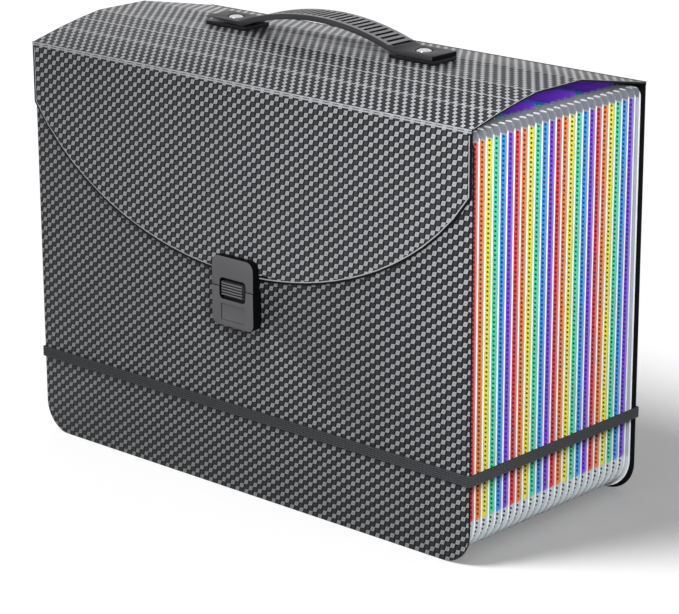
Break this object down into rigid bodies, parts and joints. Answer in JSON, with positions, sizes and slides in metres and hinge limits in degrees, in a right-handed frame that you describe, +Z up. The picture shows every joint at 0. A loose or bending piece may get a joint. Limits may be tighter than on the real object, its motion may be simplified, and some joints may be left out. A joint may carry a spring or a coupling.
{
  "type": "accordion file organizer",
  "caption": "Expanding file case with a hinged lid and flap, a carrying handle, a snap lock, an elastic band and colour-coded pockets in a pleated film bellows.",
  "frame": {"origin": "middle of the footprint box, on the surface that it stands on", "axes": "+X along the front to the right, the front faces -Y, +Z up"},
  "size_m": [0.333, 0.1554, 0.2648],
  "materials": {
    "cover_sheet": "satin, woven look outside, plain black inside",
    "film": "frosted clear film",
    "divider_red": "matt",
    "divider_orange": "matt",
    "divider_yellow": "matt",
    "divider_green": "matt",
    "divider_blue": "matt",
    "divider_purple": "matt",
    "elastic": "ribbed woven elastic",
    "moulded": "satin moulded",
    "lock_plastic": "satin moulded",
    "steel": "polished"
  },
  "bodies": {
    "case": {"rear_cover": "cover_sheet", "front_cover": "cover_sheet", "gusset_left": "film", "gusset_right": "film", "gusset_bottom": "film", "divider_01_red": "divider_red", "divider_02_orange": "divider_orange", "divider_03_yellow": "divider_yellow", "divider_04_green": "divider_green", "divider_05_blue": "divider_blue", "divider_06_purple": "divider_purple", "divider_07_red": "divider_red", "divider_08_orange": "divider_orange", "divider_09_yellow": "divider_yellow", "divider_10_green": "divider_green", "divider_11_blue": "divider_blue", "divider_12_purple": "divider_purple", "divider_13_red": "divider_red", "divider_14_orange": "divider_orange", "divider_15_yellow": "divider_yellow", "divider_16_green": "divider_green", "divider_17_blue": "divider_blue", "divider_18_purple": "divider_purple", "divider_19_red": "divider_red", "divider_20_orange": "divider_orange", "divider_21_yellow": "divider_yellow", "divider_22_green": "divider_green", "divider_23_blue": "divider_blue", "divider_24_purple": "divider_purple", "elastic_band": "elastic", "lock_body": "lock_plastic", "lock_backplate": "moulded", "lock_spring": "steel"},
    "lid": {"lid_top": "cover_sheet", "handle": "moulded", "handle_base_left": "moulded", "handle_base_right": "moulded", "handle_rivet_left": "steel", "handle_rivet_right": "steel", "handle_washer_left": "steel", "handle_washer_right": "steel"},
    "flap": {"lid_flap": "cover_sheet", "lock_strike": "lock_plastic"},
    "button": {"lock_button": "lock_plastic"}
  },
  "joints": [
    {"name": "lid_hinge", "type": "hinge", "parent": "case", "child": "lid", "pos_m": [0, 0.07625, 0.2378], "axis": [-1, 0, 0], "range_deg": [0, 240]},
    {"name": "flap_hinge", "type": "hinge", "parent": "lid", "child": "flap", "pos_m": [0, -0.07175, 0.2378], "axis": [-1, 0, 0], "range_deg": [0, 95]},
    {"name": "lock_button_slide", "type": "slide", "parent": "case", "child": "button", "axis": [0, 0, -1], "range_m": [0, 0.002], "stiffness_N_per_m": 800, "springref_m": -0.001, "deforming": ["lock_spring"]}
  ]
}
